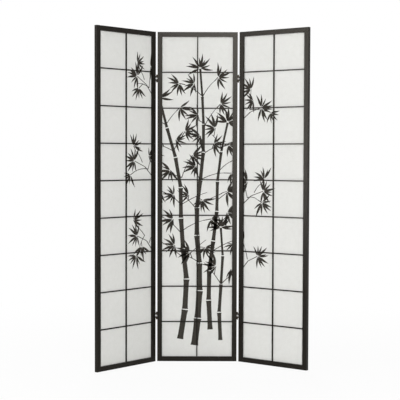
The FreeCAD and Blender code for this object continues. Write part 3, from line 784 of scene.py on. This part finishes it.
def cross_head_screw(name):
    """A screw whose head lies at the origin and faces up Z."""
    build = bmesh.new()
    rim = ring(build, SCREW_HEAD / 2, 0)
    slot = cross(build, 1.0, 0)
    edges = [build.edges.new((loop[i - 1], loop[i])) for loop in (rim, slot) for i in range(len(loop))]
    bmesh.ops.triangle_fill(build, use_beauty=True, edges=edges)
    slot_floor = cross(build, CROSS_TAPER, -CROSS_DEPTH)
    wall(build, slot, slot_floor)
    build.faces.new(slot_floor)
    drop = HINGE_LEAF
    neck = ring(build, SCREW_SHANK / 2, -drop)
    wall(build, rim, neck)
    drop += SHANK_LENGTH
    shank_end = ring(build, SCREW_SHANK / 2, -drop)
    wall(build, neck, shank_end)
    drop += POINT_LENGTH
    point = ring(build, SCREW_SHANK / 2 / POINT_BLUNTNESS, -drop)
    wall(build, shank_end, point)
    build.faces.new(point)
    bmesh.ops.recalc_face_normals(build, faces=build.faces[:])
    mesh = bpy.data.meshes.new(name)
    build.to_mesh(mesh)
    build.free()
    screw = bpy.data.objects.new(name, mesh)
    bpy.context.scene.collection.objects.link(screw)
    return screw


one_screw = cross_head_screw("cross_head_screw")
print("one screw:", len(one_screw.data.polygons), "faces")

# %% A tree of nodes that fills the screw holes
screw_tree, given = new_tree("screws_in_holes", {
    "Screw": "NodeSocketObject", "Seed": "NodeSocketInt", "Finish": "NodeSocketMaterial"})
edge = add_node(screw_tree, "GeometryNodeInputNamedAttribute", {"Name": "edge"},
                data_type="FLOAT").outputs[0]
tilt = add_node(screw_tree, "ShaderNodeMath", {0: edge, 1: math.pi / 2}, operation="MULTIPLY").outputs[0]
outward = add_node(screw_tree, "ShaderNodeCombineXYZ", {"Y": tilt}).outputs[0]
spin = add_node(screw_tree, "FunctionNodeRandomValue", {2: 0.0, 3: math.tau, "Seed": given["Seed"]},
                data_type="FLOAT").outputs[1]
own_turn = add_node(screw_tree, "ShaderNodeCombineXYZ", {"Z": spin}).outputs[0]
stance = add_node(screw_tree, "FunctionNodeRotateRotation", {"Rotation": outward, "Rotate By": own_turn},
                  rotation_space="LOCAL").outputs[0]
holes = add_node(screw_tree, "GeometryNodeMeshToPoints", {"Mesh": given["Geometry"]}).outputs[0]
shape = add_node(screw_tree, "GeometryNodeObjectInfo", {"Object": given["Screw"]}).outputs["Geometry"]
driven = add_node(screw_tree, "GeometryNodeInstanceOnPoints", {
    "Points": holes, "Instance": shape, "Rotation": stance}).outputs[0]
end_tree(screw_tree, driven, given["Finish"])
print("tree:", screw_tree.name, len(screw_tree.nodes), "nodes")

# %% Screws of each panel
HINGE_INSET = 250 * MM
HINGE_HEIGHTS = (HINGE_INSET, PANEL_HEIGHT - HINGE_INSET)
SCREW_SPACING = 22 * MM
SCREW_SEED = 5
SCREWED_EDGES = {"left": (1,), "centre": (-1, 1), "right": (-1,)}
SCREW_NODES = {"left": ["left_hinge_wing_screws"], "right": ["right_hinge_wing_screws"],
               "centre": ["left_hinge_centre_screws", "right_hinge_centre_screws"]}


def screw_holes(edges):
    """One vertex per hole on a panel's edges, with the side that its screw faces."""
    spots = [(edge * (PANEL_WIDTH / 2 + HINGE_LEAF), 0, height + half * SCREW_SPACING / 2)
             for edge in edges for height in HINGE_HEIGHTS for half in (-1, 1)]
    mesh = bpy.data.meshes.new("screw_holes")
    mesh.from_pydata(spots, [], [])
    layer = mesh.attributes.new("edge", "FLOAT", "POINT")
    layer.data.foreach_set("value", [math.copysign(1, spot[0]) for spot in spots])
    return bpy.data.objects.new("screw_holes", mesh)


for panel, edges in SCREWED_EDGES.items():
    mesh = run_tree(screw_holes(edges), screw_tree,
                    {"Screw": one_screw, "Seed": SCREW_SEED, "Finish": screw_black})
    mesh.transform(place[panel])
    item = bpy.data.objects.new(f"{panel}_panel_hinge_screws", mesh)
    bpy.context.scene.collection.objects.link(item)
    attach(item, BODIES[panel])
    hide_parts(*SCREW_NODES[panel])
    corners = [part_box(node) for node in SCREW_NODES[panel]]
    cad_low = [min(low[i] for low, _ in corners) for i in range(3)]
    low = [min(v.co[i] for v in mesh.vertices) for i in range(3)]
    off = max(abs(a - b) for a, b in zip(low, cad_low)) / MM
    print(item.name, len(mesh.polygons), "faces, off the packed ones by", round(off, 3), "mm")
bpy.data.objects.remove(one_screw)

# %% [markdown]
# ## The camera
# The lens, place and tilt were worked out by matching the panels' corners in the photograph.
# The camera stands six metres away with a long lens, so the wings hardly converge.

# %% Camera
SENSOR_WIDTH = 36
FOCAL_LENGTH = 100.93
CAMERA_PLACE = (-0.0003, -6.0776, 1.1231)
PITCH, YAW, ROLL = (math.radians(a) for a in (-2.3044, 0.1427, 0.1604))
lens = bpy.data.cameras.new("camera")
lens.sensor_width = SENSOR_WIDTH
lens.lens = FOCAL_LENGTH
camera = bpy.data.objects.new("camera", lens)
camera.matrix_world = (Matrix.Translation(CAMERA_PLACE) @ Matrix.Rotation(-YAW, 4, "Z")
                       @ Matrix.Rotation(math.pi / 2 + PITCH, 4, "X") @ Matrix.Rotation(ROLL, 4, "Z"))
bpy.context.scene.collection.objects.link(camera)
bpy.context.scene.camera = camera
print("camera at", [round(x, 3) for x in camera.location])

# %% [markdown]
# ## Light and floor
# A white studio with soft lamps: a low one and a high one in front, a tall one and a weak one at the
# left, and one behind, which shines a little through the paper. They give the black lacquer its
# long soft highlights. The background is white only to rays from the camera and from mirrors. To all
# other rays it is a dim room, so matt surfaces get no extra light. The floor is pale and keeps a
# faint shadow.

# %% World
ROOM_LIGHT = 0.4


def seen_directly(tree):
    """1 for rays from the camera and for rays that a shiny or clear surface sends on."""
    ray = add_node(tree, "ShaderNodeLightPath").outputs
    first = add_node(tree, "ShaderNodeMath", {0: ray["Is Camera Ray"], 1: ray["Is Glossy Ray"]},
                     operation="MAXIMUM").outputs[0]
    return add_node(tree, "ShaderNodeMath", {0: first, 1: ray["Is Transmission Ray"]},
                    operation="MAXIMUM").outputs[0]


world = bpy.data.worlds.new("studio")
world.use_nodes = True
bpy.context.scene.world = world
sky = world.node_tree
sky.nodes.clear()
dim = add_node(sky, "ShaderNodeBackground", {"Color": colour("ffffff"), "Strength": ROOM_LIGHT}).outputs[0]
white = add_node(sky, "ShaderNodeBackground", {"Color": colour("ffffff"), "Strength": 1.0}).outputs[0]
mixed = add_node(sky, "ShaderNodeMixShader", {0: seen_directly(sky), 1: dim, 2: white}).outputs[0]
add_node(sky, "ShaderNodeOutputWorld", {"Surface": mixed})
print("world:", world.name)


# %% Floor
FLOOR_SIZE = 30
FLOOR_DROP = 0.5 * MM
SHADOW_REACH = (0.6, 2.6)
SHADOW_VEIL = 0.92
reach = FLOOR_SIZE / 2
ground = bpy.data.meshes.new("floor")
ground.from_pydata([(-reach, -reach, 0), (reach, -reach, 0), (reach, reach, 0), (-reach, reach, 0)], [],
                   [(0, 1, 2, 3)])
floor = bpy.data.objects.new("floor", ground)
floor.location.z = -FLOOR_DROP
bpy.context.scene.collection.objects.link(floor)
floor_white, tree, shader = new_material("pale_studio_floor")
shader.inputs["Base Color"].default_value = colour("f4f4f2")
shader.inputs["Roughness"].default_value = 0.9
plain = add_node(tree, "ShaderNodeEmission", {"Color": colour("ffffff"), "Strength": 1.0}).outputs[0]
spot = add_node(tree, "ShaderNodeTexCoord").outputs["Object"]
away = add_node(tree, "ShaderNodeVectorMath", {0: spot}, operation="LENGTH").outputs["Value"]
fade = add_node(tree, "ShaderNodeMapRange", {"Value": away, "From Min": SHADOW_REACH[0],
                                             "From Max": SHADOW_REACH[1], "To Min": SHADOW_VEIL,
                                             "To Max": 1.0}).outputs["Result"]
veil = add_node(tree, "ShaderNodeMath", {0: seen_directly(tree), 1: fade}, operation="MULTIPLY").outputs[0]
pale = add_node(tree, "ShaderNodeMixShader", {0: veil, 1: shader.outputs[0], 2: plain}).outputs[0]
tree.links.new(pale, tree.nodes["Material Output"].inputs["Surface"])
floor.data.materials.append(floor_white)
print("floor:", floor_white.name)

# %% Lamps
# Each lamp: where it stands, its width and height in metres, and its power in watts.
LAMPS = {
    "front_softbox": ((1.15, -6.4, 1.1), 1.2, 1.4, 106.0),
    "high_softbox": ((0.45, -6.4, 2.9), 1.9, 1.5, 126.0),
    "left_softbox": ((-4.2, -2.14, 1.6), 0.45, 2.4, 54.0),
    "side_softbox": ((-4.2, -0.4, 2.0), 1.0, 1.6, 3.5),
    "back_softbox": ((-0.6, 5.5, 2.6), 2.0, 2.0, 115.0),
}
AIM = Vector((0, 0, 0.95))
for name, (spot, width, height, power) in LAMPS.items():
    lamp = bpy.data.lights.new(name, "AREA")
    lamp.shape = "RECTANGLE"
    lamp.size = width
    lamp.size_y = height
    lamp.energy = power
    item = bpy.data.objects.new(name, lamp)
    item.location = spot
    item.rotation_euler = (AIM - Vector(spot)).to_track_quat("-Z", "Y").to_euler()
    bpy.context.scene.collection.objects.link(item)
    print(name, power, "W")

# %% [markdown]
# ## Colours as they are
# The Standard view shows a colour as it was written.

# %% Finish
bpy.context.scene.view_settings.view_transform = "Standard"
